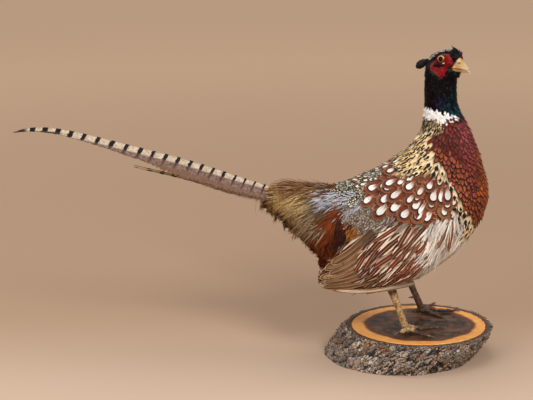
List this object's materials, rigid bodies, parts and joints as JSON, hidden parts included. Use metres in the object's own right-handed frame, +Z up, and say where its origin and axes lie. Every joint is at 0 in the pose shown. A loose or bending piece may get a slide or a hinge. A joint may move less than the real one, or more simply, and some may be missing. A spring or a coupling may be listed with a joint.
{
  "type": "taxidermy ring-necked pheasant",
  "caption": "Life-size still model of a cock ring-necked pheasant, mounted standing on a bark-edged slice of log, with its long barred tail held out behind.",
  "frame": {"origin": "on the flat underside of the log slice, on the bird's median plane midway between its feet", "axes": "+X is the way the body faces, with the tail along -X; +Y is the bird's left; +Z is up"},
  "size_m": [0.7702, 0.2169, 0.5009],
  "materials": {
    "dark_feathers": "black feathers with a blue and green sheen, brown crown",
    "white_feathers": "white neck ring",
    "copper_feathers": "copper feathers with black edges and a purple gloss",
    "mantle_feathers": "cream mantle with black streaks, then barred grey-green back",
    "rump_feathers": "olive and grey hair-like plumes, rusty below",
    "wing_feathers": "maroon and cream wing and flank feathers",
    "flank_feathers": "straw and brown thigh feathers",
    "tail_feathers": "cream tail feathers with black bars and a lilac-brown fringe",
    "wattle_skin": "red pimpled bare skin",
    "glass_eye": "glass eye with an amber iris and a black pupil",
    "bill_horn": "satin yellow horn",
    "leg_scales": "scaly grey-yellow skin, darker on the toes",
    "claw_horn": "dark horn",
    "log_wood": "sanded end grain, orange sapwood round brown heartwood",
    "log_bark": "rough grey-brown bark"
  },
  "bodies": {
    "root": {"head": "dark_feathers", "eye_right": "glass_eye", "wattle_right": "wattle_skin", "ear_tuft_right": "dark_feathers", "eye_left": "glass_eye", "wattle_left": "wattle_skin", "ear_tuft_left": "dark_feathers", "bill_upper": "bill_horn", "bill_lower": "bill_horn", "neck": "dark_feathers", "collar": "white_feathers", "breast": "copper_feathers", "trunk": "mantle_feathers", "rump": "rump_feathers", "thigh_right": "flank_feathers", "shank_right": "leg_scales", "thigh_left": "flank_feathers", "shank_left": "leg_scales", "wing_right": "wing_feathers", "wing_left": "wing_feathers", "tail_right_1": "tail_feathers", "tail_right_2": "tail_feathers", "tail_right_3": "tail_feathers", "tail_right_4": "tail_feathers", "tail_right_5": "tail_feathers", "tail_left_1": "tail_feathers", "tail_left_2": "tail_feathers", "tail_left_3": "tail_feathers", "tail_left_4": "tail_feathers", "tail_left_5": "tail_feathers", "foot_right": "leg_scales", "spur_right": "claw_horn", "claw_inner_right": "claw_horn", "claw_middle_right": "claw_horn", "claw_outer_right": "claw_horn", "claw_hind_right": "claw_horn", "foot_left": "leg_scales", "spur_left": "claw_horn", "claw_inner_left": "claw_horn", "claw_middle_left": "claw_horn", "claw_outer_left": "claw_horn", "claw_hind_left": "claw_horn", "base_wood": "log_wood", "base_bark": "log_bark"}
  },
  "joints": []
}
